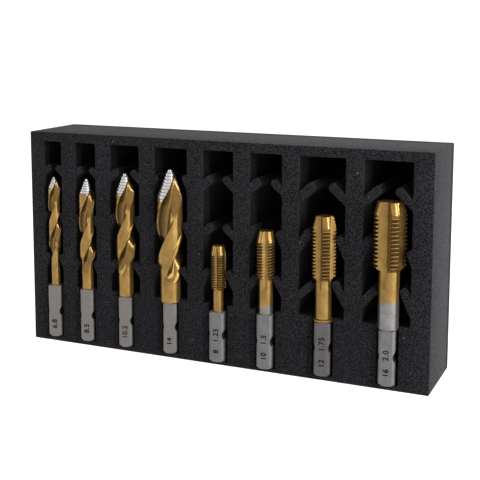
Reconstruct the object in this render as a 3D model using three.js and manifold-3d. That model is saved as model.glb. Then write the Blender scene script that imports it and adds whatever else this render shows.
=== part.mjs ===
// Foam insert with eight finger-lined pockets, holding four step-point twist drills and four thread taps.
// Lengths are in millimetres and angles in degrees. X runs along the block, Y from its open front to its
// back, and Z is up. The block stands on its long edge.

import * as THREE from 'three';
import { mergeVertices } from 'three/addons/utils/BufferGeometryUtils.js';
import Module from 'manifold-3d';

const wasm = await Module();
wasm.setup();

// The foam block. The pockets are cut right through its front sheet, and a thin sheet closes their backs.
// The pockets leave headroom over the longest tool, and the block's height follows from that.
const tipHeadroom = 11.3;
const frontSheetDepth = 38;
const backingSheetDepth = 5;
const leftWall = 8.4;
const rightWall = 9.9;
const rib = 8.8;
const topWall = 5;
const shelfHeight = 32;
const pocketCornerRadius = 0.8;

// The tools lie half proud of the front face, each with its shank pressed into a slot of the shelf.
const toolAxisDepth = 1.1;
const toolClearance = 0.3;
const slotSidePlay = 0.4;
const slotEndPlay = 0.6;
const cutterOverrun = 3;

// Soft fingers point up and inwards from both walls of a pocket, in levels, and give way beside a tool.
// Their tips stand at even spacing between the lowest, over the shelf, and the highest, under the top.
const fingerLevels = 3;
const fingerTipsOverShelf = 15.4;
const fingerTipsUnderTop = 14.8;
const fingerRise = 42;
const steepestFingerRise = 64;

// Every shank is a square with its corners and ends turned down, and a round notch for a ball catch across
// its left and right sides. The turned diameter is a share of the width across the flats.
const drillAcrossFlats = 7.2;
const tapAcrossFlats = 8;
const shankCornerShare = 1.26;
const shankEndChamfer = 1.2;
const shankShoulderChamfer = 0.4;
const shankShoulderSlope = 60;
const catchNotchWidth = 4.8;
const catchNotchDepth = 0.85;
const catchNotchHeight = 14.4;
const neckShoulder = 0.5;

// Drill flutes: the land is a share of half a turn, and the core one of the drill's radius. A flute is
// deepest nearer to the cutting edge that it serves, and starts shallow, down on the neck.
const drillAngles = 24;
const drillRingsPerTurn = 40;
const drillLandShare = 0.46;
const drillCoreShare = 0.3;
const drillFluteLeanShare = 0.8;
const drillFluteRunDown = 13;
const drillFluteRunUp = 1;
const drillNeckRings = 6;
const drillShoulder = 0.6;
const drillFluteCurveShare = 0.6;
const pointStepFace = 0.25;

// Tap flutes and threads: the thread's depth is a share of its pitch, the core one of the tap's radius. The
// flutes start shallow, down on the neck, and how far down is a share of the tap's diameter.
const tapFlutes = 4;
const tapFlutePieces = 4;
const tapCoreShare = 0.52;
const tapFluteCurveShare = 0.6;
const threadDepthShare = 0.58;
const tapShoulder = 0.4;
const tapRunDownShare = 1.6;
const tapRunDownPlay = 0.8;
const tapFluteRunUp = 2;
const tapNeckRings = 4;
const tapCentreHeight = 0.6;
const tapCentreRadius = 1.2;

// Straight pieces per curve.
const fingerTipPieces = 3;
const channelPieces = 6;
const notchPieces = 32;
const turningPieces = 48;

const foamLook = { roughness: 0.95, metalness: 0 };
const steelLook = { roughness: 0.3, metalness: 0.9 };

// Heights in a tool's row are measured from the end of its shank. Its base is the height of that end, and
// its offset is how far it stands to the right of the middle of its pocket.
const drills = [
  {
    name: 'drill_6_8', diameter: 6.8, neckDiameter: 4.8, shankLength: 28.8, fluteStart: 48.4,
    pointStart: 82.2, pointSteps: 5, pointEndDiameter: 1.8, length: 89.1, helixLead: 46,
    base: 3.2, turn: 14, phase: 97.6, offset: 0, pocketWidth: 11.2, fingerReach: 4, fingerTipRadius: 1.8,
  },
  {
    name: 'drill_8_5', diameter: 8.5, neckDiameter: 6.4, shankLength: 28.8, fluteStart: 44.9,
    pointStart: 80.6, pointSteps: 6, pointEndDiameter: 2, length: 89.4, helixLead: 57,
    base: 3.1, turn: 14, phase: 164, offset: 0, pocketWidth: 12.6, fingerReach: 4, fingerTipRadius: 1.8,
  },
  {
    name: 'drill_10_2', diameter: 10.2, neckDiameter: 8, shankLength: 27.4, fluteStart: 47,
    pointStart: 82.4, pointSteps: 7, pointEndDiameter: 3, length: 93.9, helixLead: 61,
    base: 3, turn: 14, phase: 144.5, offset: 0, pocketWidth: 17.8, fingerReach: 5.2, fingerTipRadius: 2,
  },
  {
    name: 'drill_14', diameter: 14, neckDiameter: 10.8, shankLength: 27.4, fluteStart: 46.8,
    pointStart: 81.5, pointSteps: 9, pointEndDiameter: 3.2, length: 97.7, helixLead: 84.5,
    base: 3, turn: 14, phase: 193.8, offset: -0.5, pocketWidth: 19.3, fingerReach: 4.8, fingerTipRadius: 2,
  },
];

const taps = [
  {
    name: 'tap_m8', diameter: 8, pitch: 1.25, neckDiameter: 5.4, collarDiameter: 0, collarLength: 0,
    landShare: 0.68, shankLength: 26.2, threadStart: 38, leadStart: 55.5, leadEndDiameter: 6.2, length: 60.8,
    base: 2.3, turn: 13.5, phase: 7.2, offset: 0, pocketWidth: 17.2, fingerReach: 5.8, fingerTipRadius: 2,
  },
  {
    name: 'tap_m10', diameter: 10, pitch: 1.5, neckDiameter: 7.2, collarDiameter: 0, collarLength: 0,
    landShare: 0.62, shankLength: 28.2, threadStart: 46.5, leadStart: 64.5, leadEndDiameter: 7.4, length: 70.8,
    base: 2.3, turn: 12, phase: 19.9, offset: 0.3, pocketWidth: 17.6, fingerReach: 5.8, fingerTipRadius: 2,
  },
  {
    name: 'tap_m12', diameter: 12, pitch: 1.75, neckDiameter: 8, collarDiameter: 10.2, collarLength: 1.6,
    landShare: 0.42, shankLength: 27.4, threadStart: 49, leadStart: 73.5, leadEndDiameter: 9, length: 80.1,
    base: 3, turn: 10, phase: 1.6, offset: 1.2, pocketWidth: 24, fingerReach: 8.6, fingerTipRadius: 2.1,
  },
  {
    name: 'tap_m16', diameter: 16, pitch: 2, neckDiameter: 10.2, collarDiameter: 0, collarLength: 0,
    landShare: 0.38, shankLength: 27.6, threadStart: 57.2, leadStart: 83.2, leadEndDiameter: 12.4, length: 89.9,
    base: 2.8, turn: 4, phase: 15.8, offset: 1.2, pocketWidth: 24.2, fingerReach: 8.6, fingerTipRadius: 2.1,
  },
];

for (const drill of drills) {
  drill.acrossFlats = drillAcrossFlats;
  drill.bodyStart = drill.fluteStart - drillShoulder;
  drill.collarDiameter = 0;
}
for (const tap of taps) {
  tap.acrossFlats = tapAcrossFlats;
  tap.bodyStart = tap.threadStart - tapShoulder;
}
const tools = [...drills, ...taps];

const pocketTop = Math.max(...tools.map((tool) => tool.base + tool.length)) + tipHeadroom;
const blockHeight = pocketTop + topWall;
const lowestFingerTipHeight = shelfHeight + fingerTipsOverShelf;
const fingerLevelSpacing = (pocketTop - fingerTipsUnderTop - lowestFingerTipHeight) / (fingerLevels - 1);

const cornerRadius = (tool) => tool.acrossFlats * shankCornerShare / 2;

// Pockets stand side by side from the left wall, with a rib between neighbours.
const pocketWidths = tools.map((tool) => tool.pocketWidth);
const blockWidth = leftWall + rightWall + rib * (tools.length - 1) + pocketWidths.reduce((a, b) => a + b);
let nextPocket = leftWall - blockWidth / 2;
for (const tool of tools) {
  tool.centre = nextPocket + tool.pocketWidth / 2;
  tool.axis = tool.centre + tool.offset;
  nextPocket += tool.pocketWidth + rib;
}

// Turns a shape drawn in X and Y and extruded along Z into one drawn in X and Z and extruded along Y.
const frontView = new THREE.Matrix4().makeBasis(
  new THREE.Vector3(1, 0, 0), new THREE.Vector3(0, 0, 1), new THREE.Vector3(0, -1, 0));

function toSolid(geometry) {
  const bare = geometry.clone();
  bare.deleteAttribute('normal');
  bare.deleteAttribute('uv');
  const merged = mergeVertices(bare);
  const faces = [];
  for (let i = 0; i < merged.index.count; i += 3) {
    const [a, b, c] = [0, 1, 2].map((corner) => merged.index.getX(i + corner));
    if (a !== b && b !== c && c !== a) faces.push(a, b, c);
  }
  return new wasm.Manifold(new wasm.Mesh({
    numProp: 3,
    vertProperties: new Float32Array(merged.attributes.position.array),
    triVerts: new Uint32Array(faces),
  }));
}

function toGeometry(solid) {
  const mesh = solid.getMesh();
  const geometry = new THREE.BufferGeometry();
  geometry.setAttribute('position', new THREE.BufferAttribute(new Float32Array(mesh.vertProperties), 3));
  geometry.setIndex(new THREE.BufferAttribute(new Uint32Array(mesh.triVerts), 1));
  geometry.computeVertexNormals();
  return geometry;
}

// The foam seen from the front.

function bodyRadiusAt(tool, height) {
  if (height > tool.base + tool.length) return 0;
  return (height < tool.base + tool.bodyStart ? tool.neckDiameter : tool.diameter) / 2;
}

// A finger keeps its length and turns up about its root until its tip clears the tool.
function fingerTip(tool, level) {
  const freeRun = tool.fingerReach - tool.fingerTipRadius;
  const freeRise = THREE.MathUtils.degToRad(fingerRise);
  const length = freeRun / Math.cos(freeRise);
  const tipHeight = lowestFingerTipHeight + level * fingerLevelSpacing;
  const rootHeight = tipHeight - length * Math.sin(freeRise);
  const toolRadius = bodyRadiusAt(tool, tipHeight);
  const room = tool.pocketWidth / 2 - toolRadius - toolClearance - tool.fingerTipRadius;
  const leastRun = length * Math.cos(THREE.MathUtils.degToRad(steepestFingerRise));
  const run = Math.max(Math.min(freeRun, room), leastRun);
  const rise = Math.acos(run / length);
  return { rise, rootHeight, run, tipHeight: rootHeight + length * Math.sin(rise) };
}

// Draws one finger on a wall at x. Side is 1 where the finger points to +X and -1 where it points to -X.
// The tip's arc ends at the wall where the finger is turned up so far that its back would lie inside it.
function addFinger(path, tool, level, x, side) {
  const { rise, rootHeight, run, tipHeight } = fingerTip(tool, level);
  const radius = tool.fingerTipRadius;
  const halfFoot = radius / Math.cos(rise);
  const buried = run < radius * Math.sin(rise);
  const lower = rise - Math.PI / 2;
  const upper = buried ? Math.acos(-run / radius) : rise + Math.PI / 2;
  if (side > 0) {
    path.lineTo(x, rootHeight - halfFoot);
    path.absarc(x + run, tipHeight, radius, lower, upper, false);
    if (!buried) path.lineTo(x, rootHeight + halfFoot);
  } else {
    if (!buried) path.lineTo(x, rootHeight + halfFoot);
    path.absarc(x - run, tipHeight, radius, Math.PI - upper, Math.PI - lower, false);
    path.lineTo(x, rootHeight - halfFoot);
  }
}

function pocketOutline(tool) {
  const left = tool.centre - tool.pocketWidth / 2;
  const right = tool.centre + tool.pocketWidth / 2;
  const top = pocketTop;
  const round = pocketCornerRadius;
  const path = new THREE.Shape();
  path.moveTo(left, shelfHeight);
  for (let level = 0; level < fingerLevels; level++) addFinger(path, tool, level, left, 1);
  path.absarc(left + round, top - round, round, Math.PI, Math.PI / 2, true);
  path.absarc(right - round, top - round, round, Math.PI / 2, 0, true);
  for (let level = fingerLevels - 1; level >= 0; level--) addFinger(path, tool, level, right, -1);
  path.lineTo(right, shelfHeight);
  path.closePath();
  return path;
}

function foamSheet(front, depth) {
  const sheet = new THREE.BoxGeometry(blockWidth, depth, blockHeight);
  sheet.translate(0, front + depth / 2, blockHeight / 2);
  return sheet;
}

function pocketCutter(tool) {
  const depth = frontSheetDepth + 2 * cutterOverrun;
  const settings = { depth, bevelEnabled: false, curveSegments: fingerTipPieces };
  const cutter = new THREE.ExtrudeGeometry(pocketOutline(tool), settings);
  cutter.applyMatrix4(frontView);
  cutter.translate(0, frontSheetDepth + cutterOverrun, 0);
  return toSolid(cutter);
}

// The space that a tool takes up on its way out through the front.

function slotCutter(tool) {
  const shankSeat = toolAxisDepth + cornerRadius(tool) + toolClearance;
  const slotWidth = 2 * (cornerRadius(tool) + slotSidePlay);
  const bottom = tool.base - slotEndPlay;
  const top = Math.max(shelfHeight, tool.base + tool.shankLength + toolClearance);
  const cutter = new THREE.BoxGeometry(slotWidth, shankSeat + cutterOverrun, top - bottom);
  cutter.translate(tool.axis, (shankSeat - cutterOverrun) / 2, (top + bottom) / 2);
  return toSolid(cutter);
}

// A channel with a round floor, open to the front, between two heights.
function channelCutter(tool, diameter, bottom, top) {
  const radius = diameter / 2 + toolClearance;
  const shape = new THREE.Shape();
  shape.moveTo(-radius, -toolAxisDepth - cutterOverrun);
  shape.lineTo(radius, -toolAxisDepth - cutterOverrun);
  shape.absarc(0, 0, radius, 0, Math.PI, false);
  shape.closePath();
  const settings = { depth: top - bottom, bevelEnabled: false, curveSegments: channelPieces };
  const cutter = new THREE.ExtrudeGeometry(shape, settings);
  cutter.translate(tool.axis, toolAxisDepth, bottom);
  return toSolid(cutter);
}

function frontSheet() {
  let solid = toSolid(foamSheet(0, frontSheetDepth));
  for (const tool of tools) {
    const shankEnd = tool.base + tool.shankLength;
    const bodyStart = tool.base + tool.bodyStart - toolClearance;
    const tip = tool.base + tool.length + toolClearance;
    const neck = Math.max(tool.neckDiameter, tool.collarDiameter);
    solid = solid.subtract(pocketCutter(tool));
    solid = solid.subtract(slotCutter(tool));
    solid = solid.subtract(channelCutter(tool, neck, shankEnd - toolClearance, tip));
    solid = solid.subtract(channelCutter(tool, tool.diameter, bodyStart, tip));
  }
  return toGeometry(solid);
}

const backingSheet = () => foamSheet(frontSheetDepth, backingSheetDepth);

// The tools, each drawn upright on its own axis from the end of its shank.

// A closed body of rings around the Z axis. Each ring gives its height, its turn and a radius per angle.
function ringBody(rings, angles) {
  const points = [];
  const faces = [];
  const count = angles.length;
  for (const ring of rings) {
    for (let i = 0; i < count; i++) {
      const angle = angles[i] + ring.turn;
      points.push(ring.radii[i] * Math.cos(angle), ring.radii[i] * Math.sin(angle), ring.height);
    }
  }
  for (let level = 0; level + 1 < rings.length; level++) {
    for (let i = 0; i < count; i++) {
      const a = level * count + i;
      const b = level * count + (i + 1) % count;
      faces.push(a, b, b + count, a, b + count, a + count);
    }
  }
  const bottom = points.length / 3;
  points.push(0, 0, rings[0].height, 0, 0, rings.at(-1).height);
  const lastRing = (rings.length - 1) * count;
  for (let i = 0; i < count; i++) {
    const next = (i + 1) % count;
    faces.push(bottom, next, i, bottom + 1, lastRing + i, lastRing + next);
  }
  const geometry = new THREE.BufferGeometry();
  geometry.setAttribute('position', new THREE.Float32BufferAttribute(points, 3));
  geometry.setIndex(faces);
  return geometry;
}

// The turned outline that rounds off the corners of the square and chamfers its ends.
function shankTurning(tool) {
  const corner = cornerRadius(tool);
  const shoulder = shankShoulderChamfer * Math.tan(THREE.MathUtils.degToRad(shankShoulderSlope));
  const points = [
    new THREE.Vector2(0, 0),
    new THREE.Vector2(corner - shankEndChamfer, 0),
    new THREE.Vector2(corner, shankEndChamfer),
    new THREE.Vector2(corner, tool.shankLength - shankShoulderChamfer),
    new THREE.Vector2(corner - shoulder, tool.shankLength),
    new THREE.Vector2(0, tool.shankLength),
  ];
  const turned = new THREE.LatheGeometry(points, turningPieces);
  turned.rotateX(Math.PI / 2);
  return toSolid(turned);
}

// A notch runs from front to back. Side is 1 for the one on the right and -1 for the one on the left.
function catchNotch(tool, side) {
  const halfWidth = catchNotchWidth / 2;
  const radius = (halfWidth ** 2 + catchNotchDepth ** 2) / (2 * catchNotchDepth);
  const notch = new THREE.CylinderGeometry(radius, radius, 2 * tool.acrossFlats, notchPieces);
  notch.translate(side * (tool.acrossFlats / 2 - catchNotchDepth + radius), 0, catchNotchHeight);
  return toSolid(notch);
}

function squareShank(tool) {
  const square = new THREE.BoxGeometry(tool.acrossFlats, tool.acrossFlats, tool.shankLength);
  square.translate(0, 0, tool.shankLength / 2);
  const rounded = toSolid(square).intersect(shankTurning(tool));
  return rounded.subtract(catchNotch(tool, 1)).subtract(catchNotch(tool, -1));
}

// A neck or collar starts inside the end of its shank and widens past it, so that it may be the wider one.
function neckRoot(tool, radius, plain) {
  const root = Math.min(radius, tool.acrossFlats / 2 - neckShoulder);
  return [
    plain(tool.shankLength - neckShoulder, root),
    plain(tool.shankLength, root),
    plain(tool.shankLength + neckShoulder, radius),
  ];
}

const evenAngles = (count) => Array.from({ length: count }, (_, i) => i * 2 * Math.PI / count);

// A drill's radius at a share of half a turn: a round land, then a flute that dips to the core.
function drillRadius(drill, share, depth) {
  const radius = drill.diameter / 2;
  if (share <= drillLandShare) return radius;
  const across = ((share - drillLandShare) / (1 - drillLandShare)) ** drillFluteLeanShare;
  const dip = Math.sin(Math.PI * across) ** drillFluteCurveShare;
  return radius - depth * dip * (1 - drillCoreShare) * radius;
}

// The outer envelope of a drill's point: turned steps that narrow towards the end.
function pointEnvelope(drill) {
  const start = drill.diameter / 2;
  const end = drill.pointEndDiameter / 2;
  const stepLength = (drill.length - drill.pointStart) / (drill.pointSteps + 1);
  const stepDepth = (start - end) / drill.pointSteps;
  const levels = [];
  for (let step = 1; step <= drill.pointSteps; step++) {
    const height = drill.pointStart + step * stepLength;
    levels.push({ height: height - pointStepFace, radius: start - (step - 1) * stepDepth });
    levels.push({ height, radius: start - step * stepDepth });
  }
  levels.push({ height: drill.length, radius: end / 2 });
  return levels;
}

function drillBody(drill) {
  const angles = evenAngles(drillAngles);
  const neck = drill.neckDiameter / 2;
  const radius = drill.diameter / 2;
  const startTurn = THREE.MathUtils.degToRad(drill.phase);
  const runOut = drill.fluteStart - drillFluteRunDown;
  const twist = (height) => startTurn + 2 * Math.PI * (height - drill.fluteStart) / drill.helixLead;
  const ring = (height, envelope) => {
    const depth = THREE.MathUtils.smoothstep(height, runOut, drill.fluteStart + drillFluteRunUp);
    const radii = angles.map((angle) => {
      const share = (angle % Math.PI) / Math.PI;
      return Math.min(envelope, drillRadius(drill, share, depth));
    });
    return { height, turn: twist(height), radii };
  };
  const plain = (height, size) => ({ height, turn: twist(runOut), radii: angles.map(() => size) });
  const rings = neckRoot(drill, neck, plain);
  for (let level = 0; level <= drillNeckRings; level++) {
    rings.push(ring(runOut + (drill.bodyStart - runOut) * level / drillNeckRings, neck));
  }
  const turns = (drill.pointStart - drill.fluteStart) / drill.helixLead;
  const levels = Math.ceil(turns * drillRingsPerTurn);
  for (let level = 0; level <= levels; level++) {
    rings.push(ring(drill.fluteStart + (drill.pointStart - drill.fluteStart) * level / levels, radius));
  }
  for (const { height, radius: envelope } of pointEnvelope(drill)) rings.push(ring(height, envelope));
  return toSolid(ringBody(rings, angles));
}

// The places round a tap: the start, middle and end of each land, then even steps across each flute.
function tapAngles(tap) {
  const shares = [0, tap.landShare / 2];
  for (let step = 0; step < tapFlutePieces; step++) {
    shares.push(tap.landShare + (1 - tap.landShare) * step / tapFlutePieces);
  }
  const flutes = Array.from({ length: tapFlutes }, (_, flute) => flute);
  return flutes.flatMap((flute) => shares.map((share) => (flute + share) * 2 * Math.PI / tapFlutes));
}

// A tap's flutes at a share of one flute's sector: a land, then a round flute down to the core.
function tapRadius(tap, share, depth) {
  const radius = tap.diameter / 2;
  if (share <= tap.landShare) return radius;
  const across = (share - tap.landShare) / (1 - tap.landShare);
  return radius - depth * (1 - tapCoreShare) * radius * Math.sin(Math.PI * across) ** tapFluteCurveShare;
}

function tapBody(tap) {
  const angles = tapAngles(tap);
  const sector = 2 * Math.PI / tapFlutes;
  const turn = THREE.MathUtils.degToRad(tap.phase);
  const radius = tap.diameter / 2;
  const neck = tap.neckDiameter / 2;
  const root = radius - threadDepthShare * tap.pitch;
  const room = tap.threadStart - tap.shankLength - tapRunDownPlay;
  const runOut = tap.threadStart - Math.min(tapRunDownShare * tap.diameter, room);
  const ring = (height, envelope) => {
    const depth = THREE.MathUtils.smoothstep(height, runOut, tap.threadStart - tapFluteRunUp);
    const radii = angles.map((angle) => {
      const share = (angle % sector) / sector;
      return Math.min(envelope, tapRadius(tap, share, depth));
    });
    return { height, turn, radii };
  };
  const plain = (height, size) => ({ height, turn, radii: angles.map(() => size) });
  const rings = neckRoot(tap, Math.max(neck, tap.collarDiameter / 2), plain);
  if (tap.collarLength > 0) {
    rings.push(plain(tap.shankLength + tap.collarLength - neckShoulder, tap.collarDiameter / 2));
    rings.push(plain(tap.shankLength + tap.collarLength, neck));
  }
  for (let level = 0; level <= tapNeckRings; level++) {
    rings.push(ring(runOut + (tap.bodyStart - runOut) * level / tapNeckRings, neck));
  }
  rings.push(ring(tap.threadStart, root));
  const threads = Math.round((tap.leadStart - tap.threadStart) / tap.pitch);
  for (let thread = 0; thread < threads; thread++) {
    const bottom = tap.threadStart + (tap.leadStart - tap.threadStart) * thread / threads;
    rings.push(ring(bottom + tap.pitch / 2, radius));
    rings.push(ring(bottom + tap.pitch, root));
  }
  rings.push(ring(tap.length, tap.leadEndDiameter / 2));
  rings.push(plain(tap.length + tapCentreHeight, tapCentreRadius / 2));
  return toSolid(ringBody(rings, angles));
}

function toolMesh(tool, body, color) {
  const material = new THREE.MeshStandardMaterial({ color, ...steelLook });
  const mesh = new THREE.Mesh(toGeometry(squareShank(tool).add(body)), material);
  mesh.name = tool.name;
  mesh.position.set(tool.axis, toolAxisDepth, tool.base);
  mesh.rotation.z = THREE.MathUtils.degToRad(tool.turn);
  return mesh;
}

function foamMesh(name, geometry, color) {
  const material = new THREE.MeshStandardMaterial({ color, ...foamLook });
  const mesh = new THREE.Mesh(geometry, material);
  mesh.name = name;
  return mesh;
}

const part = new THREE.Group();
part.name = 'tap_and_drill_foam_insert';
part.add(foamMesh('foam_pocket_block', frontSheet(), '#262428'));
part.add(foamMesh('foam_backing_sheet', backingSheet(), '#1d1c1f'));
for (const drill of drills) part.add(toolMesh(drill, drillBody(drill), '#c09a50'));
for (const tap of taps) part.add(toolMesh(tap, tapBody(tap), '#c8a258'));

// The origin is the middle of the footprint, on the surface that the block stands on.
const extent = new THREE.Box3().setFromObject(part, true);
const middle = extent.getCenter(new THREE.Vector3());
part.position.set(-middle.x, -middle.y, -extent.min.z);

export default part;
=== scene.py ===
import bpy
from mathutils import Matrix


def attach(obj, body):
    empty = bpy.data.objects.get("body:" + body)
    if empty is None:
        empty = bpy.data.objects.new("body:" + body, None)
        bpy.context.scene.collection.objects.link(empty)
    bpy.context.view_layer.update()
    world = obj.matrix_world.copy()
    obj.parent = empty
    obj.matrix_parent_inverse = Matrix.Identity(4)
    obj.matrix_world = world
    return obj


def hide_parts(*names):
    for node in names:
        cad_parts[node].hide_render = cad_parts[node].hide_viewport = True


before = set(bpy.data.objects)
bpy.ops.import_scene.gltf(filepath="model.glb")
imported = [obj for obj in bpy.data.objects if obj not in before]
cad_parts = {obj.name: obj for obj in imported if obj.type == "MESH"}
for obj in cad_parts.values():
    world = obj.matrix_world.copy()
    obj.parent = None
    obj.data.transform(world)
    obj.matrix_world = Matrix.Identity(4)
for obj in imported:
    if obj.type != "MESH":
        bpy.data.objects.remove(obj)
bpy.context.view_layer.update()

from math import acos, cos, degrees, floor, pi, radians, sin, sqrt, tan

import bmesh
import bpy
from mathutils import Matrix, Vector

mm = 0.001  # the values below are in millimetres and degrees

# The eight tools, left to right. Heights are from the end of the shank, which stands at base.
tools = {
    "drill_6_8": dict(kind="drill", x=-97.9, base=3.2, turn=14, phase=97.6, diameter=6.8, neck=4.8,
                      shank=28.8, start=48.4, point=82.2, steps=5, end=1.8, length=89.1, lead=46,
                      pocket=11.2, reach=4.0, tip=1.8, offset=0, stain=-0.7, spray=0.3, mark="6.8"),
    "drill_8_5": dict(kind="drill", x=-77.2, base=3.1, turn=14, phase=164, diameter=8.5, neck=6.4,
                      shank=28.8, start=44.9, point=80.6, steps=6, end=2.0, length=89.4, lead=57,
                      pocket=12.6, reach=4.0, tip=1.8, offset=0, stain=-0.75, spray=0.3, mark="8.5"),
    "drill_10_2": dict(kind="drill", x=-53.2, base=3.0, turn=14, phase=144.5, diameter=10.2, neck=8.0,
                       shank=27.4, start=47.0, point=82.4, steps=7, end=3.0, length=93.9, lead=61,
                       pocket=17.8, reach=5.2, tip=2.0, offset=0, stain=-0.65, spray=0.3, mark="10.2"),
    "drill_14": dict(kind="drill", x=-25.85, base=3.0, turn=14, phase=193.8, diameter=14.0, neck=10.8,
                     shank=27.4, start=46.8, point=81.5, steps=9, end=3.2, length=97.7, lead=84.5,
                     pocket=19.3, reach=4.8, tip=2.0, offset=-0.5, stain=-0.45, spray=0.2, mark="14"),
    "tap_m8": dict(kind="tap", x=1.2, base=2.3, turn=5, phase=15.7, diameter=8.0, neck=5.4, shank=26.2,
                   start=38.0, point=55.5, end=6.2, length=60.8, land=0.68, pitch=1.25, collar=0,
                   bareTo=-0.2, pocket=17.2, reach=5.8, tip=2.0, offset=0, core=0.72, stain=0, spray=0.2,
                   mark="8   1.25"),
    "tap_m10": dict(kind="tap", x=27.4, base=2.3, turn=6, phase=33.5, diameter=10.0, neck=7.2, shank=28.2,
                    start=46.5, point=64.5, end=7.4, length=70.8, land=0.46, pitch=1.5, collar=0,
                    bareTo=4.0, pocket=17.6, reach=5.8, tip=2.0, offset=0.3, core=0.62, stain=0, spray=0,
                    mark="10   1.5"),
    "tap_m12": dict(kind="tap", x=57.0, base=3.0, turn=10, phase=1.6, diameter=12.0, neck=8.0, shank=27.4,
                    start=49.0, point=73.5, end=9.0, length=80.1, land=0.38, pitch=1.75, collar=10.2,
                    bareTo=-3.0, pocket=24.0, reach=8.6, tip=2.1, offset=1.2, core=0.52, stain=0.65,
                    spray=0.2, mark="12   1.75"),
    "tap_m16": dict(kind="tap", x=89.9, base=2.8, turn=4, phase=15.8, diameter=16.0, neck=10.2,
                    shank=27.6, start=57.2, point=83.2, end=12.4, length=89.9, land=0.30, pitch=2.0,
                    collar=0, bareTo=13.5, pocket=24.2, reach=8.6, tip=2.1, offset=1.2, core=0.52,
                    stain=0, spray=0, mark="16   2.0"),
}


def smooth(value, low, high):
    t = min(1.0, max(0.0, (value - low) / (high - low)))
    return t * t * (3 - 2 * t)


def along(points, at):
    # the value at a place on a line of (place, value) points
    if at <= points[0][0]:
        return points[0][1]
    for (a, va), (b, vb) in zip(points, points[1:]):
        if at <= b:
            return vb if b == a else va + (vb - va) * (at - a) / (b - a)
    return points[-1][1]


def finishMesh(name, bm, materials, sharpAngle=32):
    limit = radians(sharpAngle)
    for face in bm.faces:
        face.smooth = True
    for edge in bm.edges:
        edge.smooth = len(edge.link_faces) == 2 and edge.calc_face_angle(0) < limit
    mesh = bpy.data.meshes.new(name)
    bm.to_mesh(mesh)
    bm.free()
    for material in materials:
        mesh.materials.append(material)
    piece = bpy.data.objects.new(name, mesh)
    bpy.context.scene.collection.objects.link(piece)
    return piece


def flatsOf(tool):
    return shank["drillFlats"] if tool["kind"] == "drill" else shank["tapFlats"]


def cornerOf(tool):
    return flatsOf(tool) * shank["cornerShare"] / 2


# The foam, cut through and closed at the back. Depths are from its front face.
foam = dict(width=223.8, height=117.0, frontY=-18.3415, frontSheet=38.0, backing=5.0,
            shelf=32.0, pocketTop=112.0, cornerRadius=0.8, tipSteps=10, cornerSteps=4,
            lowestTip=47.4, tipSpacing=24.9, levels=3, rise=42, steepest=66, leastRun=0.3, clearance=0.3,
            slotPlay=0.4, slotCorner=1.0, slotEndPlay=0.6, toolAxis=1.1,
            rim=0.32, rimSteps=3, blockCorner=0.6, seam=0.1, leastSpread=0.5, smoothAngle=50)
axisY = foam["frontY"] + foam["toolAxis"]


def arcPoints(x, z, radius, startAngle, endAngle, steps):
    return [(x + radius * cos(startAngle + (endAngle - startAngle) * i / steps),
             z + radius * sin(startAngle + (endAngle - startAngle) * i / steps)) for i in range(steps + 1)]


def fingerPoints(tool, level, wall, side):
    # one finger, from its lower foot round its tip to its upper foot
    tipRadius = tool["tip"]
    freeRun = tool["reach"] - tipRadius
    length = freeRun / cos(radians(foam["rise"]))
    tipHeight = foam["lowestTip"] + level * foam["tipSpacing"]
    root = tipHeight - length * sin(radians(foam["rise"]))
    shoulder = drill["shoulder"] if tool["kind"] == "drill" else tap["shoulder"]
    bodyStart = tool["base"] + tool["start"] - shoulder
    toolRadius = tool["neck"] / 2 if tipHeight < bodyStart else tool["diameter"] / 2
    if tipHeight > tool["base"] + tool["length"]:
        toolRadius = 0
    room = tool["pocket"] / 2 + side * tool["offset"] - toolRadius - foam["clearance"] - tipRadius
    run = max(min(freeRun, room), foam["leastRun"])
    rise = min(acos(run / length), radians(foam["steepest"]))
    length = run / cos(rise)
    halfFoot = tipRadius / cos(rise)
    buried = run < tipRadius * sin(rise)
    lastAngle = acos(-run / tipRadius) if buried else rise + pi / 2
    points = [(0, root - halfFoot)]
    tipZ = root + length * sin(rise)
    points += arcPoints(run, tipZ, tipRadius, rise - pi / 2, lastAngle, foam["tipSteps"])
    if not buried:
        points.append((0, root + halfFoot))
    return [(wall + side * x, z) for x, z in points]


def pocketParts(tool):
    # the slot's outline from its left top corner round to its right top corner, and the rest of the pocket
    x, half = tool["x"], tool["pocket"] / 2
    slotHalf = min(cornerOf(tool) + foam["slotPlay"], half)
    bottom, corner, steps = tool["base"] - foam["slotEndPlay"], foam["slotCorner"], foam["cornerSteps"]
    left, right = x + tool["offset"] - slotHalf, x + tool["offset"] + slotHalf
    slot = [(left, foam["shelf"])]
    slot += arcPoints(left + corner, bottom + corner, corner, pi, 1.5 * pi, steps)
    slot += arcPoints(right - corner, bottom + corner, corner, 1.5 * pi, 2 * pi, steps)
    slot += [(right, foam["shelf"])]
    top, corner = foam["pocketTop"], foam["cornerRadius"]
    pocket = [(x + half, foam["shelf"])] if half > slotHalf else []
    for level in range(foam["levels"]):
        pocket += fingerPoints(tool, level, x + half, -1)
    pocket += arcPoints(x + half - corner, top - corner, corner, 0, pi / 2, steps)
    pocket += arcPoints(x - half + corner, top - corner, corner, pi / 2, pi, steps)
    for level in reversed(range(foam["levels"])):
        pocket += reversed(fingerPoints(tool, level, x - half, 1))
    if half > slotHalf:
        pocket.append((x - half, foam["shelf"]))
    return slot, pocket


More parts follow.
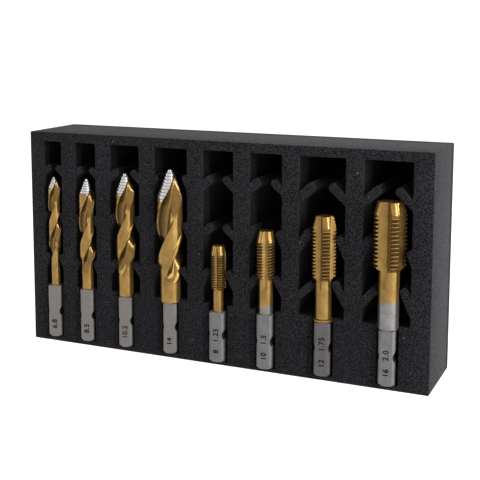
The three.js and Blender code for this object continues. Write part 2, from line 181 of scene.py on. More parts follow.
def offsetLoop(points, distance):
    # moves a loop that runs counter-clockwise outwards by a distance, with its sharpest corners held back
    moved = []
    for i, point in enumerate(points):
        here = Vector(point)
        before = (here - Vector(points[i - 1])).normalized()
        after = (Vector(points[(i + 1) % len(points)]) - here).normalized()
        normal = Vector((before.y + after.y, -before.x - after.x))
        normal = normal.normalized() if normal.length > 1e-6 else Vector((before.y, -before.x))
        spread = max(foam["leastSpread"], normal.dot(Vector((after.y, -after.x))))
        moved.append(tuple(here + normal * distance / spread))
    return moved


def place(points, depth):
    return [Vector((x * mm, (foam["frontY"] + depth) * mm, z * mm)) for x, z in points]


def startLoop(bm, places):
    loop = [bm.verts.new(p) for p in places]
    for a, b in zip(loop, loop[1:] + loop[:1]):
        bm.edges.new((a, b))
    return loop


def loopEdges(bm, loop):
    return [bm.edges.get((a, b)) for a, b in zip(loop, loop[1:] + loop[:1])]


def growLoop(bm, loop, places):
    made = bmesh.ops.extrude_edge_only(bm, edges=loopEdges(bm, loop))["geom"]
    fresh = {item for item in made if isinstance(item, bmesh.types.BMVert)}
    grown = [next(e.other_vert(v) for e in v.link_edges if e.other_vert(v) in fresh) for v in loop]
    for vert, p in zip(grown, places):
        vert.co = p
    return grown


def roundRim(bm, loop, outline, side):
    # turns the front face's edge into a wall: side is 1 for a pocket's rim and -1 for the block's own edge
    for i in range(1, foam["rimSteps"] + 1):
        angle = pi / 2 * i / foam["rimSteps"]
        spread = foam["rim"] * (1 - sin(angle))
        loop = growLoop(bm, loop, place(offsetLoop(outline, side * spread), foam["rim"] * (1 - cos(angle))))
    return loop


def blockOutline():
    half, height, corner = foam["width"] / 2, foam["height"], foam["blockCorner"]
    steps = foam["cornerSteps"]
    points = arcPoints(-half + corner, corner, corner, pi, 1.5 * pi, steps)
    points += arcPoints(half - corner, corner, corner, 1.5 * pi, 2 * pi, steps)
    points += arcPoints(half - corner, height - corner, corner, 0, pi / 2, steps)
    return points + arcPoints(-half + corner, height - corner, corner, pi / 2, pi, steps)


def sinkPocket(bm, tool, rimLoop, slot, outline):
    # walls down to the slot's floor, then the pocket alone down to the back of the sheet
    paintedPocketShade = bm.verts.layers.float["paintedPocketShade"]
    loop = roundRim(bm, rimLoop, outline, 1)
    slotDepth = foam["toolAxis"] + cornerOf(tool) + foam["clearance"]
    loop = growLoop(bm, loop, place(outline, slotDepth))
    # painted shade: the loops deep in the pocket are marked so that the foam darkens there
    for vert in loop:
        vert[paintedPocketShade] = 1.0
    slotLoop, pocketLoop = loop[:len(slot)], loop[len(slot):]
    bm.edges.new((slotLoop[0], slotLoop[-1]))
    bm.faces.new(slotLoop)
    deep = [slotLoop[0], slotLoop[-1]] + pocketLoop
    outlineDeep = [outline[0], outline[len(slot) - 1]] + outline[len(slot):]
    last = growLoop(bm, deep, place(outlineDeep, foam["frontSheet"]))
    for vert in last:
        vert[paintedPocketShade] = 1.0
    return last


def makeFoamFront(material):
    bm = bmesh.new()
    bm.verts.layers.float.new("paintedPocketShade")
    outside = blockOutline()
    frontLoops = [startLoop(bm, place(offsetLoop(outside, -foam["rim"]), 0))]
    loop = roundRim(bm, frontLoops[0], outside, -1)
    loop = growLoop(bm, loop, place(outside, foam["frontSheet"] - foam["seam"]))
    backLoops = [growLoop(bm, loop, place(offsetLoop(outside, -foam["seam"]), foam["frontSheet"]))]
    for tool in tools.values():
        slot, pocket = pocketParts(tool)
        outline = slot + pocket
        rimLoop = startLoop(bm, place(offsetLoop(outline, foam["rim"]), 0))
        frontLoops.append(rimLoop)
        backLoops.append(sinkPocket(bm, tool, rimLoop, slot, outline))
    for loops, normal in ((frontLoops, (0, -1, 0)), (backLoops, (0, 1, 0))):
        edges = [edge for loop in loops for edge in loopEdges(bm, loop)]
        bmesh.ops.triangle_fill(bm, use_beauty=True, edges=edges, normal=normal)
    bmesh.ops.recalc_face_normals(bm, faces=bm.faces)
    return finishMesh("foamBlock", bm, [material], foam["smoothAngle"])


def makeFoamBack(material):
    bm = bmesh.new()
    paintedPocketShade = bm.verts.layers.float.new("paintedPocketShade")
    outside = blockOutline()
    first, last = foam["frontSheet"], foam["frontSheet"] + foam["backing"]
    front = startLoop(bm, place(offsetLoop(outside, -foam["seam"]), first))
    loop = growLoop(bm, front, place(outside, first + foam["seam"]))
    loop = growLoop(bm, loop, place(outside, last - foam["rim"]))
    for i in range(1, foam["rimSteps"] + 1):
        angle = pi / 2 * i / foam["rimSteps"]
        spread, short = foam["rim"] * (1 - cos(angle)), foam["rim"] * (1 - sin(angle))
        loop = growLoop(bm, loop, place(offsetLoop(outside, -spread), last - short))
    bm.faces.new(front)
    bm.faces.new(loop)
    # painted shade on the face that meets the front sheet
    for vert in front:
        vert[paintedPocketShade] = 1.0
    bmesh.ops.recalc_face_normals(bm, faces=bm.faces)
    return finishMesh("foamBacking", bm, [material], foam["smoothAngle"])


# The tools: each is rolled from two flat grids, its shank and its cutting part.
shank = dict(drillFlats=7.2, tapFlats=8.0, cornerShare=1.26, endChamfer=1.2, topChamfer=0.4, topSlope=60,
             notchHeight=14.4, notchWidth=4.8, notchDepth=0.85, leftNotchLess=0.35, edgeRound=0.06,
             shoulder=0.5, fineStep=0.08, topZone=0.45, topStep=0.05, rowStep=1.5)
drill = dict(land=0.46, core=0.3, lean=0.8, curve=0.6, runDown=13.0, runUp=1.0, relief=0.03, margin=0.07,
             marginEdge=0.01, rowStep=0.4, stepFace=0.25, shoulder=0.6, taper=2.6, tipGap=0.01,
             leastShade=0.16, fluteShade=0.95, shadeEdge=0.03,
             faceShade=0.28, faceFrom=0.02, faceShare=0.04)
tap = dict(curve=0.6, runOutShare=1.6, leastNeck=0.8, runUp=2.0, rowsPerPitch=16, depth=0.58, crest=0.125,
           root=0.25, rootStart=0.2, crestStart=0.9, rootGap=0.3, shoulder=0.4, neckStep=0.5, tipFlat=0.3,
           collarTop=1.1, collarEnd=1.6, landSteps=8, fluteShade=0.22, threadShade=0.95,
           coatEdge=4.0, coatWave=0.7, coatTilt=20)
landShares = [0, .01, .03, .07, .12, .18, .24, .30, .345, .375, .385, .40, .425, .448, .46]
fluteShares = [.004, .012, .03, .06, .1, .15, .21, .28, .36, .44, .52, .6, .68, .76, .83, .89, .935, .965,
               .985, .996]
tapFluteShares = [.01, .03, .07, .13, .2, .29, .39, .5, .61, .71, .8, .87, .93, .97, .99]
# degrees from the middle of a flat, close together where the turned corners start
flatOffsets = [0, 8, 16, 23, 29, 33, 35, 36, 36.8] + [37.2 + i * 0.65 for i in range(12)]


def wrap(bm, angles, heights, at):
    # rolls a flat grid round the Z axis and closes its ends
    # at gives an angle, a radius, a height, a coating and a painted shade for a column and a row; on a
    # shank the coating is -1 where shade is painted in the notch, and the second value holds the stain
    coatAndNotchShade, paintedShadeAndStain = bm.verts.layers.float["coatAndNotchShade"], bm.verts.layers.float["paintedShadeAndStain"]
    surface = bm.loops.layers.uv["surface"]
    columns, rows = len(angles), len(heights) - 1
    made = bmesh.ops.create_grid(bm, x_segments=columns, y_segments=rows, size=1)["verts"]
    spots = {}
    for vert in made:
        column = round((vert.co.x + 1) / 2 * columns)
        row = round((vert.co.y + 1) / 2 * rows)
        spots[vert] = (column, row)
    for vert, (column, row) in spots.items():
        angle, radius, height, gold, sunk = at(angles[column % columns], heights[row])
        vert.co = Vector((radius * cos(angle), radius * sin(angle), height)) * mm
        vert[coatAndNotchShade] = gold
        vert[paintedShadeAndStain] = sunk
    # the surface's own map runs once round, and by 1 for each 100 mm along
    for face in {face for vert in made for face in vert.link_faces}:
        for corner in face.loops:
            column, row = spots[corner.vert]
            corner[surface].uv = (column / columns, heights[row] * mm * 10)
    bmesh.ops.remove_doubles(bm, verts=made, dist=1e-7)
    closeEnds(bm)


def closeEnds(bm):
    # draws a face over the first and the last ring of a rolled grid, the only ones still open
    rims = [edge for edge in bm.edges if edge.is_boundary]
    middle = sum(edge.verts[0].co.z for edge in rims) / len(rims)
    for side in (-1, 1):
        rim = [edge for edge in rims if (edge.verts[0].co.z - middle) * side > 0]
        bmesh.ops.contextual_create(bm, geom=rim)


def filled(places, step):
    # the places with more between them, no further apart than a step
    places = sorted(set(round(p, 5) for p in places))
    result = []
    for a, b in zip(places, places[1:]):
        count = max(1, int((b - a) / step + 0.999))
        result += [a + (b - a) * i / count for i in range(count)]
    return result + [places[-1]]


def wrapShank(bm, tool):
    flats, corner, length = flatsOf(tool), cornerOf(tool), tool["shank"]
    slope = tan(radians(shank["topSlope"]))
    notch, halfNotch, deep = shank["notchHeight"], shank["notchWidth"] / 2, shank["notchDepth"]
    notchRadius = (halfNotch ** 2 + deep ** 2) / (2 * deep)
    heights = filled([0, shank["endChamfer"]], shank["fineStep"])
    heights += filled([notch - halfNotch, notch + halfNotch], shank["fineStep"])
    heights += filled([length - shank["topZone"], length], shank["topStep"])
    offsets = flatOffsets + [90 - offset for offset in reversed(flatOffsets[1:])]
    angles = [radians(side * 90 + offset) for side in range(4) for offset in offsets]

    def turned(z):
        radius = min(corner - shank["edgeRound"], corner - shank["endChamfer"] + z)
        return min(radius, corner - slope * (z - length + shank["topChamfer"]))

    def at(angle, z):
        fromFlat = (degrees(angle) + 45) % 90 - 45
        radius = min(flats / 2 / cos(radians(fromFlat)), turned(z))
        away, shade = z - notch, 0.0
        if abs(away) < halfNotch:
            less = 0.0 if cos(angle) > 0 else shank["leftNotchLess"]
            fromAxis = flats / 2 - deep + less + notchRadius - sqrt(notchRadius ** 2 - away ** 2)
            limit = fromAxis / abs(cos(angle))
            # painted shade: inside the notch the steel is marked to darken
            shade = -1.0 if limit < radius else 0.0
            radius = min(radius, limit)
        if z > length - tool["spray"]:
            shade = 1.0
        return angle + radians(tool["turn"]), radius, tool["base"] + z, shade, tool["stain"]

    wrap(bm, angles, filled(heights, shank["rowStep"]), at)


def neckProfile(tool, widest):
    # (height, radius) points up to the start of the working part
    root = min(widest, flatsOf(tool) / 2 - shank["shoulder"])
    return [(tool["shank"] - shank["shoulder"], root), (tool["shank"], root),
            (tool["shank"] + shank["shoulder"], widest)]


def wrapDrill(bm, tool):
    outer, start, point, land = tool["diameter"] / 2, tool["start"], tool["point"], drill["land"]
    neck = tool["neck"] / 2
    profile = neckProfile(tool, neck)
    profile += [(start - drill["shoulder"], neck), (start + drill["taper"], outer), (point, outer)]
    stepLength = (tool["length"] - point) / (tool["steps"] + 1)
    stepDepth = (outer - tool["end"] / 2) / tool["steps"]
    for step in range(1, tool["steps"] + 1):
        height = point + step * stepLength
        profile.append((height - drill["stepFace"], outer - (step - 1) * stepDepth))
        profile.append((height, outer - step * stepDepth))
    profile.append((tool["length"], tool["end"] / 4))
    shares = landShares + [land + (1 - land) * s for s in fluteShares]
    first = radians(tool["turn"] + tool["phase"])

    def at(share, z):
        depth = smooth(z, start - drill["runDown"], start + drill["runUp"])
        local, sunk = share % 1, 0.0
        relief = drill["relief"] * outer * depth
        if local <= land:
            marginStart = land - drill["margin"]
            radius = outer - relief * (1 - smooth(local, marginStart - drill["marginEdge"], marginStart))
        else:
            across = ((local - land) / (1 - land)) ** drill["lean"]
            dip = sin(pi * across) ** drill["curve"]
            radius = outer - relief * across - depth * dip * (1 - drill["core"]) * outer
            # painted shade: a flute darkens, most next to the cutting edge
            shade = drill["leastShade"] + drill["fluteShade"] * (1 - across) ** 3
            sunk = depth * min(1, across / drill["shadeEdge"]) * shade
        envelope = along(profile, z)
        onTip = z > point + drill["tipGap"] and envelope < radius + drill["tipGap"]
        # painted shade: a dark band on each step face of the tip
        if onTip:
            fromFace = ((z - point) / stepLength + drill["faceFrom"]) % 1
            sunk = drill["faceShade"] if fromFace < drill["faceShare"] else 0.0
        twist = 2 * pi * max(-drill["runDown"], z - start) / tool["lead"]
        angle = first + twist + share * pi
        return angle, min(envelope, radius), tool["base"] + z, -1.0 if onTip else 1.0, sunk

    heights = filled([z for z, r in profile], drill["rowStep"])
    wrap(bm, [half + s for half in (0, 1) for s in shares], heights, at)


def threadDepthAt(turns, tool):
    # how far under the crest a thread's flank lies, at a share of its pitch
    share = turns % 1
    fromCrest = min(share, 1 - share) * 2
    slope = (fromCrest - tap["crest"]) / (1 - tap["crest"] - tap["root"])
    return tap["depth"] * tool["pitch"] * min(1, max(0, slope))


def wrapTap(bm, tool):
    outer, pitch, neck, land = tool["diameter"] / 2, tool["pitch"], tool["neck"] / 2, tool["land"]
    start, point, length = tool["start"], tool["point"], tool["length"]
    rootRadius = outer - tap["depth"] * pitch
    profile = neckProfile(tool, max(neck, tool["collar"] / 2))
    if tool["collar"]:
        profile.append((tool["shank"] + tap["collarTop"], tool["collar"] / 2))
        profile.append((tool["shank"] + tap["collarEnd"], neck))
    profile += [(start - tap["shoulder"], neck), (start + tap["rootStart"], rootRadius),
                (start + pitch * tap["crestStart"], outer), (point, outer), (length, tool["end"] / 2)]
    rowStep = pitch / tap["rowsPerPitch"]
    rows = int((length - start) / rowStep)
    heights = filled([z for z, r in profile if z <= start], tap["neckStep"])[:-1]
    heights += [start + i * rowStep for i in range(rows + 1)] + [length]
    shares = [land * i / tap["landSteps"] for i in range(tap["landSteps"] + 1)]
    shares += [land + (1 - land) * s for s in tapFluteShares]
    first = radians(tool["turn"] + tool["phase"])
    runOut = start - min(tap["runOutShare"] * tool["diameter"], start - tool["shank"] - tap["leastNeck"])

    def at(share, z):
        local, sunk = share % 1, 0.0
        radius, envelope = outer, along(profile, z)
        if local > land:
            depth = smooth(z, runOut, start - tap["runUp"])
            dip = depth * sin(pi * (local - land) / (1 - land)) ** tap["curve"]
            radius = outer - dip * (1 - tool["core"]) * outer
            # painted shade in the flute
            sunk = tap["fluteShade"] * dip
        if z > start and radius > rootRadius - tap["rootGap"]:
            turns = (z - start) / pitch - floor(share) / 4
            cut = threadDepthAt(turns, tool) * (1 - smooth(z, point - pitch, (point + length) / 2))
            envelope = min(envelope, outer - cut)
            # painted shade at the roots of the thread
            sunk = max(sunk, tap["threadShade"] * (cut / tap["depth"] / pitch) ** 2)
        lean = pitch * (local - land / 2) / 4 if start + pitch < z < length - tap["tipFlat"] else 0
        if local > land:
            lean *= max(0, 1 - (local - land) / (1 - land) * 2)
        angle = first + share * pi / 2
        bare = tool["bareTo"] + tap["coatWave"] * cos(angle + radians(tap["coatTilt"]))
        gold = min(1, max(0, (z - tool["shank"] - bare) / tap["coatEdge"] + 0.5))
        return angle, min(envelope, radius), tool["base"] + z + lean, gold, sunk

    wrap(bm, [sector + s for sector in range(4) for s in shares], heights, at)


def makeTool(name, tool, cuttingMaterial, shankMaterial):
    bm = bmesh.new()
    bm.verts.layers.float.new("coatAndNotchShade")
    bm.verts.layers.float.new("paintedShadeAndStain")
    bm.loops.layers.uv.new("surface")
    wrapShank(bm, tool)
    shankFaces = len(bm.faces)
    if tool["kind"] == "drill":
        wrapDrill(bm, tool)
    else:
        wrapTap(bm, tool)
    for index, face in enumerate(bm.faces):
        face.material_index = 1 if index < shankFaces else 0
    bmesh.ops.translate(bm, verts=bm.verts, vec=Vector((tool["x"] + tool["offset"], axisY, 0)) * mm)
    piece = finishMesh(name + "_ground", bm, [cuttingMaterial, shankMaterial])
    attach(piece, name + "_body")
    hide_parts(name)


# Materials: colours are linear, and the scales of noise and cells are per metre.


class NodeSet:
    def __init__(self, tree):
        self.tree = tree

    def add(self, kind, **values):
        node = self.tree.nodes.new(kind)
        for key, value in values.items():
            setattr(node, key, value)
        return node

    def link(self, source, target):
        self.tree.links.new(source, target)

    def math(self, operation, a, b, clamp=False):
        node = self.add("ShaderNodeMath", operation=operation, use_clamp=clamp)
        for socket, value in zip(node.inputs, (a, b)):
            self.fill(socket, value)
        return node.outputs[0]

    def fill(self, socket, value):
        # a socket is linked, and anything else is set as the value
        if hasattr(value, "is_linked"):
            self.link(value, socket)
        else:
            socket.default_value = value

    def noise(self, vector, scale, detail=4, roughness=0.55):
        node = self.add("ShaderNodeTexNoise")
        self.fill(node.inputs["Vector"], vector)
        node.inputs["Scale"].default_value = scale
        node.inputs["Detail"].default_value = detail
        node.inputs["Roughness"].default_value = roughness
        return node.outputs["Fac"]

    def cells(self, vector, scale):
        node = self.add("ShaderNodeTexVoronoi", feature="F1")
        self.fill(node.inputs["Vector"], vector)
        node.inputs["Scale"].default_value = scale
        return node.outputs["Distance"]

    def stretch(self, vector, scale):
        node = self.add("ShaderNodeMapping")
        self.fill(node.inputs["Vector"], vector)
        node.inputs["Scale"].default_value = scale
        return node.outputs[0]

    def span(self, value, fromLow, fromHigh, toLow, toHigh, kind="SMOOTHSTEP"):
        node = self.add("ShaderNodeMapRange", interpolation_type=kind)
        for socket, item in zip(node.inputs, (value, fromLow, fromHigh, toLow, toHigh)):
            self.fill(socket, item)
        return node.outputs[0]

    def mix(self, factor, a, b, blend="MIX"):
        node = self.add("ShaderNodeMix", data_type="RGBA", blend_type=blend)
        self.fill(node.inputs[0], factor)
        self.fill(node.inputs[6], a)
        self.fill(node.inputs[7], b)
        return node.outputs[2]

    def attribute(self, name):
        return self.add("ShaderNodeAttribute", attribute_name=name).outputs["Fac"]

    def ragged(self, value, noise, amount):
        # a value pushed up and down by a noise
        return self.math("ADD", value, self.math("MULTIPLY", self.math("SUBTRACT", noise, 0.5), amount))

    def bump(self, height, strength, distance):
        node = self.add("ShaderNodeBump")
        self.fill(node.inputs["Height"], height)
        node.inputs["Strength"].default_value = strength
        node.inputs["Distance"].default_value = distance
        return node.outputs[0]


def setPlain(shader, values):
    for label, value in values.items():
        shader.inputs[label].default_value = value


def startMaterial(name):
    material = bpy.data.materials.new(name)
    material.use_nodes = True
    shader = material.node_tree.nodes["Principled BSDF"]
    return material, NodeSet(material.node_tree), shader


def newGroup(name, inputs, outputs):
    tree = bpy.data.node_groups.new(name, "ShaderNodeTree")
    for label, kind, value in inputs:
        tree.interface.new_socket(name=label, in_out="INPUT", socket_type=kind).default_value = value
    for label, kind in outputs:
        tree.interface.new_socket(name=label, in_out="OUTPUT", socket_type=kind)
    nodes = NodeSet(tree)
    return tree, nodes, nodes.add("NodeGroupInput").outputs, nodes.add("NodeGroupOutput").inputs


def placeGroup(nodes, tree, **values):
    node = nodes.add("ShaderNodeGroup")
    node.node_tree = tree
    for label, value in values.items():
        nodes.fill(node.inputs[label], value)
    return node.outputs


# the pocket colour below is painted shade, which the foam takes on deep in the pockets
foamLook = dict(fine=1900, cells=1350, cellShare=0.25, patches=70, lint=210, lintPlaces=190, lintSize=0.055,
                lintColour=(0.42, 0.41, 0.40, 1), pocket=(0.0008, 0.0008, 0.001, 1), pocketShadeShare=0.96,
                plain={"Sheen Weight": 0.06, "Sheen Roughness": 0.5, "Specular IOR Level": 0.15},
                bumpDepth=0.0003,
                block=dict(deep=(0.0008, 0.0006, 0.0011, 1), light=(0.035, 0.0325, 0.038, 1), bump=1.0),
                backing=dict(deep=(0.006, 0.0057, 0.0062, 1), light=(0.022, 0.021, 0.023, 1), bump=0.5))


def makeFoamGroup():
    # closed cells cut through: a fine speckle, brighter cell walls and a little lint
    colour, value = "NodeSocketColor", "NodeSocketFloat"
    inputs = [("Deep", colour, foamLook["block"]["deep"]), ("Light", colour, foamLook["block"]["light"])]
    outputs = [("Colour", colour), ("Roughness", value), ("Height", value)]
    tree, n, given, out = newGroup("foamCells", inputs, outputs)
    spot = n.add("ShaderNodeTexCoord").outputs["Object"]
    fine = n.noise(spot, foamLook["fine"], 2, 0.7)
    walls = n.span(n.cells(spot, foamLook["cells"]), 0.0, 0.75, 0.0, 1.0)
    grain = n.math("ADD", n.math("MULTIPLY", fine, 1 - foamLook["cellShare"]),
                   n.math("MULTIPLY", walls, foamLook["cellShare"]))
    speckle = n.mix(n.span(grain, 0.50, 0.61, 0, 1), given["Deep"], given["Light"])
    patches = n.span(n.noise(spot, foamLook["patches"], 3), 0.3, 0.7, 0.88, 1.12)
    patchy = n.mix(1.0, speckle, patches, "MULTIPLY")
    sparse = n.math("GREATER_THAN", n.noise(spot, foamLook["lintPlaces"], 0), 0.66)
    dots = n.math("LESS_THAN", n.cells(spot, foamLook["lint"]), foamLook["lintSize"])
    n.link(n.mix(n.math("MULTIPLY", dots, sparse), patchy, foamLook["lintColour"]), out["Colour"])
    n.link(n.span(grain, 0.2, 0.8, 0.98, 0.8), out["Roughness"])
    n.link(grain, out["Height"])
    return tree


def makeFoamMaterial(name, group, look):
    material, n, shader = startMaterial(name)
    made = placeGroup(n, group, Deep=look["deep"], Light=look["light"])
    # painted shade: the pocket walls darken with depth towards the pocket colour
    shaded = n.span(n.attribute("paintedPocketShade"), 0, 0.35, 0, foamLook["pocketShadeShare"])  # the pockets swallow light
    n.link(n.mix(shaded, made["Colour"], foamLook["pocket"]), shader.inputs["Base Color"])
    n.link(made["Roughness"], shader.inputs["Roughness"])
    n.link(n.bump(made["Height"], look["bump"], foamLook["bumpDepth"]), shader.inputs["Normal"])
    setPlain(shader, foamLook["plain"])
    return material


grindLook = dict(rings=(60, 60, 5200), lines=(420, 9, 1), patches=240)
# the darkest coating colour is painted shade for flutes, threads and the tip's steps
coatingLook = dict(rings=0.3, lines=0.6, bump=0.12, bumpDepth=0.0001, paintedShadeShare=0.97,
                   gold=((0.29, 0.171, 0.045, 1), (0.40, 0.242, 0.070, 1)),
                   bare=((0.195, 0.193, 0.195, 1), (0.285, 0.28, 0.28, 1)),
                   ground=(0.66, 0.655, 0.65, 1), scratch=(0.08, 0.04, 0.012, 1),
                   paintedShadeAndStain=(0.026, 0.012, 0.003, 1),
                   plain={"Metallic": 0.65, "Specular IOR Level": 0.2, "Anisotropic": 0.6,
                          "Anisotropic Rotation": 0.25})
# in the shank, the near-black colour is painted shade for the notch floor
shankLook = dict(rings=0.35, lines=1.0, bump=0.15, bumpDepth=0.0001, metallic=0.5,
                 steel=((0.112, 0.109, 0.109, 1), (0.18, 0.176, 0.176, 1)), lit=(0.26, 0.255, 0.255, 1),
                 notchShade=(0.012, 0.0115, 0.011, 1), spray=(0.40, 0.28, 0.14, 1),
                 warm=(0.235, 0.206, 0.184, 1), brown=(0.052, 0.042, 0.037, 1))
markLook = dict(wear=3000, dark=(0.006, 0.0055, 0.0055, 1), worn=(0.022, 0.02, 0.018, 1), specular=0.1)


def makeGrindGroup():
    # rings left by turning and lines left by grinding, with patches of wear
    value = "NodeSocketFloat"
    inputs = [("Rings", value, 1.0), ("Lines", value, 1.0)]
    tree, n, given, out = newGroup("grindMarks", inputs, [("Marks", value), ("Patches", value)])
    spot = n.add("ShaderNodeTexCoord").outputs["Object"]
    onSurface = n.add("ShaderNodeUVMap", uv_map="surface").outputs[0]
    rings = n.noise(n.stretch(spot, grindLook["rings"]), 1, 3, 0.6)
    lines = n.noise(n.stretch(onSurface, grindLook["lines"]), 1, 3, 0.6)
    marks = n.math("ADD", n.math("MULTIPLY", n.math("SUBTRACT", rings, 0.5), given["Rings"]),
                   n.math("MULTIPLY", n.math("SUBTRACT", lines, 0.5), given["Lines"]))
    n.link(marks, out["Marks"])
    n.link(n.noise(spot, grindLook["patches"], 4, 0.6), out["Patches"])
    return tree


def makeCoatedMaterial(group):
    # coat is 1 under the gold, 0 on bare steel and -1 on the ground tip
    # painted shade: the second attribute is 1 deep in a flute or a thread
    look = coatingLook
    material, n, shader = startMaterial("goldCoating")
    made = placeGroup(n, group, Rings=look["rings"], Lines=look["lines"])
    coatAndNotchShade = n.attribute("coatAndNotchShade")
    patches = n.span(made["Patches"], 0.3, 0.7, 0, 1)
    steel = n.mix(n.span(coatAndNotchShade, -0.8, -0.2, 1, 0), n.mix(patches, *look["bare"]), look["ground"])
    coated = n.span(n.ragged(coatAndNotchShade, made["Patches"], 0.5), 0.2, 0.8, 0, 1)
    base = n.mix(coated, steel, n.mix(patches, *look["gold"]))
    scratched = n.mix(n.span(made["Marks"], -0.35, 0.35, 0.0, 0.35), base, look["scratch"])
    # painted shade: deep in flutes and threads the colour darkens
    deep = n.math("MULTIPLY", n.attribute("paintedShadeAndStain"), look["paintedShadeShare"], clamp=True)
    n.link(n.mix(deep, scratched, look["paintedShadeAndStain"]), shader.inputs["Base Color"])
    n.link(n.span(made["Marks"], -0.4, 0.4, 0.17, 0.31), shader.inputs["Roughness"])
    n.link(n.bump(made["Marks"], look["bump"], look["bumpDepth"]), shader.inputs["Normal"])
    grain = n.add("ShaderNodeTangent", direction_type="UV_MAP", uv_map="surface").outputs[0]
    n.link(grain, shader.inputs["Tangent"])
    setPlain(shader, look["plain"])
    return material


def makeShankMaterial(group):
    # the coating attribute is -1 in the notch, which gets painted shade, and 1 where the gold was sprayed
    # over; the stain attribute is -1 if warm and 1 if brown
    look = shankLook
    material, n, shader = startMaterial("shankSteel")
    made = placeGroup(n, group, Rings=look["rings"], Lines=look["lines"])
    coatAndNotchShade, stain = n.attribute("coatAndNotchShade"), n.attribute("paintedShadeAndStain")
    steel = n.mix(n.span(made["Patches"], 0.25, 0.75, 0, 1), *look["steel"])
    lit = n.mix(n.span(made["Marks"], -0.3, 0.4, 0.0, 0.6), steel, look["lit"])
    # painted shade: the notch floor darkens
    notchShaded = n.mix(n.span(coatAndNotchShade, -1, 0, 0.85, 0), lit, look["notchShade"])
    sprayed = n.mix(n.span(n.ragged(coatAndNotchShade, made["Patches"], 0.9), 0.35, 0.8, 0, 1), notchShaded, look["spray"])
    warm = n.mix(n.span(stain, -1, 0, 1, 0, "LINEAR"), sprayed, look["warm"])
    brown = n.mix(n.span(stain, 0, 1, 0, 1, "LINEAR"), warm, look["brown"])
    worn = n.mix(n.span(made["Marks"], -0.35, 0.25, 0.45, 0), brown, notchShaded)
    # painted shade: the notch shows its dark colour, with wear, stain and spray only round it
    n.link(n.mix(n.span(coatAndNotchShade, -1, 0, 1, 0), worn, notchShaded), shader.inputs["Base Color"])
    n.link(n.span(made["Marks"], -0.4, 0.4, 0.42, 0.62), shader.inputs["Roughness"])
    n.link(n.bump(made["Marks"], look["bump"], look["bumpDepth"]), shader.inputs["Normal"])
    setPlain(shader, {"Metallic": look["metallic"]})
    return material


def makeMarkMaterial():
    material, n, shader = startMaterial("markingDark")
    wear = n.noise(n.add("ShaderNodeTexCoord").outputs["Object"], markLook["wear"], 2)
    colour = n.mix(n.span(wear, 0.35, 0.65, 0, 1), markLook["dark"], markLook["worn"])
    n.link(colour, shader.inputs["Base Color"])
    n.link(n.span(wear, 0.3, 0.7, 0.75, 0.95), shader.inputs["Roughness"])
    setPlain(shader, {"Specular IOR Level": markLook["specular"]})
    return material


# The size numbers on the shanks
marking = dict(size=3.9, bold=0.09, spacing=1.1, proud=0.012, sunk=0.05, height=4.6)


def makeMark(name, tool, material):
    curve = bpy.data.curves.new(name, "FONT")
    curve.body = tool["mark"]
    curve.size = marking["size"] * mm
    curve.align_x = "LEFT"
    curve.align_y = "CENTER"
    curve.space_character = marking["spacing"]
    curve.extrude = (marking["proud"] + marking["sunk"]) / 2 * mm
    source = bpy.data.objects.new(name + "Source", curve)
    bpy.context.scene.collection.objects.link(source)
    bpy.context.view_layer.update()
    mesh = bpy.data.meshes.new_from_object(source.evaluated_get(bpy.context.evaluated_depsgraph_get()))
    bpy.data.objects.remove(source)
    outwards = radians(tool["turn"] - 90)
    distance = flatsOf(tool) / 2 + (marking["proud"] - marking["sunk"]) / 2
    # the text reads upwards on the flat that faces the front
    up = Vector((0, 0, 1))
    out = Vector((cos(outwards), sin(outwards), 0))
    across = out.cross(up)
    frameMatrix = Matrix((up, across, out)).transposed().to_4x4()
    start = Vector((tool["x"] + tool["offset"], axisY, tool["base"] + marking["height"])) + out * distance
    frameMatrix.translation = start * mm
    mesh.transform(frameMatrix)
    bm = bmesh.new()
    for side in (-1, 1):
        for level in (-1, 1):
            stroke = mesh.copy()
            stroke.transform(Matrix.Translation((across * side + up * level) * marking["bold"] * mm))
            bm.from_mesh(stroke)
            bpy.data.meshes.remove(stroke)
    bm.to_mesh(mesh)
    bm.free()
    mesh.name = name
    mesh.materials.clear()
    mesh.materials.append(material)
    piece = bpy.data.objects.new(name, mesh)
    bpy.context.scene.collection.objects.link(piece)
    return piece


# The studio: lamps, floor, backdrop and camera, in metres but for the camera
studio = dict(floorSize=4.0, worldFill=0.16, floorGlow=0.89, floorGloss=0.89, aimHeight=0.06,
              key=dict(place=(0.85, -0.11, 0.26), size=(0.14, 0.8), power=5.5),
              strip=dict(place=(0.72, -0.40, 0.24), size=(0.06, 0.9), power=4.0),
              top=dict(place=(0.1, 0.45, 0.75), size=(1.0, 0.6), power=2.8),
              left=dict(place=(-0.85, -0.28, 0.32), size=(0.3, 0.8), power=1.8))
camera = dict(place=(209.61, -470.43, 176.18), yaw=23.427, pitch=7.497, roll=0.111,
              focalPixels=993.11, photoPixels=480, sensor=36, shiftY=-0.18)


def makeLamp(name, values):
    lamp = bpy.data.lights.new(name, "AREA")
    lamp.shape = "RECTANGLE"
    lamp.size, lamp.size_y = values["size"]
    lamp.energy = values["power"]
    holder = bpy.data.objects.new(name, lamp)
    bpy.context.scene.collection.objects.link(holder)
    holder.visible_camera = False
    holder.location = values["place"]
    aim = Vector((0, 0, studio["aimHeight"])) - holder.location
    holder.rotation_euler = aim.to_track_quat("-Z", "Y").to_euler()


def seenLevel(n, seen, gloss, fill):
    # one level where the camera looks, one in reflections and one for the light that falls on things
    path = n.add("ShaderNodeLightPath").outputs
    direct = n.math("ADD", path["Is Camera Ray"], path["Is Transmission Ray"], clamp=True)
    reflected = n.span(path["Is Glossy Ray"], 0, 1, fill, gloss, "LINEAR")
    return n.math("MAXIMUM", n.math("MULTIPLY", direct, seen), reflected)


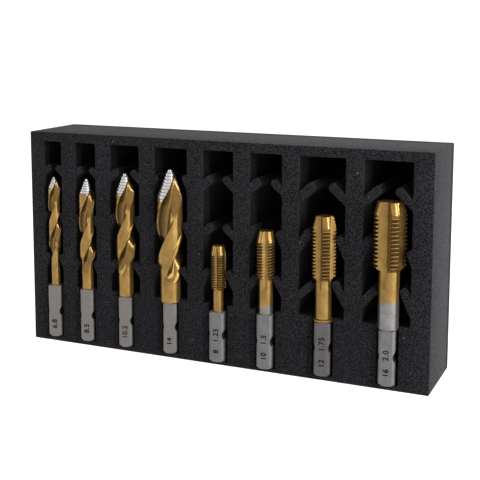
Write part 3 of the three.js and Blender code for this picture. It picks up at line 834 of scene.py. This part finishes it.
def makeWorld():
    world = bpy.data.worlds.new("studio")
    bpy.context.scene.world = world
    world.use_nodes = True
    n = NodeSet(world.node_tree)
    background = world.node_tree.nodes["Background"]
    background.inputs["Color"].default_value = (1, 1, 1, 1)
    n.link(seenLevel(n, 1.0, 1.0, studio["worldFill"]), background.inputs["Strength"])


def makeFloor():
    material, n, shader = startMaterial("floorPale")
    setPlain(shader, {"Base Color": (0.8, 0.8, 0.8, 1), "Roughness": 0.9, "Specular IOR Level": 0.1,
                      "Emission Color": (1, 1, 1, 1)})
    n.link(seenLevel(n, studio["floorGlow"], studio["floorGloss"], 0.0), shader.inputs["Emission Strength"])
    bm = bmesh.new()
    bmesh.ops.create_grid(bm, x_segments=2, y_segments=2, size=studio["floorSize"])
    finishMesh("studioFloor", bm, [material])


def makeCamera():
    data = bpy.data.cameras.new("photoCamera")
    data.sensor_width = camera["sensor"]
    data.lens = camera["focalPixels"] / camera["photoPixels"] * camera["sensor"]
    data.shift_y = camera["shiftY"]
    holder = bpy.data.objects.new("photoCamera", data)
    bpy.context.scene.collection.objects.link(holder)
    turn = Matrix.Rotation(radians(camera["yaw"]), 4, "Z")
    turn = turn @ Matrix.Rotation(radians(90 - camera["pitch"]), 4, "X")
    turn = turn @ Matrix.Rotation(radians(camera["roll"]), 4, "Z")
    holder.matrix_world = Matrix.Translation(Vector(camera["place"]) * mm) @ turn
    bpy.context.scene.camera = holder


bpy.context.scene.view_settings.view_transform = "Standard"

foamGroup = makeFoamGroup()
grindGroup = makeGrindGroup()
foamMaterial = makeFoamMaterial("foamBlack", foamGroup, foamLook["block"])
backMaterial = makeFoamMaterial("foamBackBlack", foamGroup, foamLook["backing"])
coatedMaterial = makeCoatedMaterial(grindGroup)
shankMaterial = makeShankMaterial(grindGroup)
markMaterial = makeMarkMaterial()
print("materials made")

foamBlock = makeFoamFront(foamMaterial)
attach(foamBlock, "foam_insert")
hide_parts("foam_pocket_block")
foamBacking = makeFoamBack(backMaterial)
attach(foamBacking, "foam_insert")
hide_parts("foam_backing_sheet")
print("foam made")

for toolName, toolValues in tools.items():
    makeTool(toolName, toolValues, coatedMaterial, shankMaterial)
    markPiece = makeMark(toolName + "_mark", toolValues, markMaterial)
    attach(markPiece, toolName + "_body")
print("tools made")

makeWorld()
makeFloor()
for lampName in ("key", "strip", "top", "left"):
    makeLamp(lampName + "Lamp", studio[lampName])
makeCamera()
print("studio made")
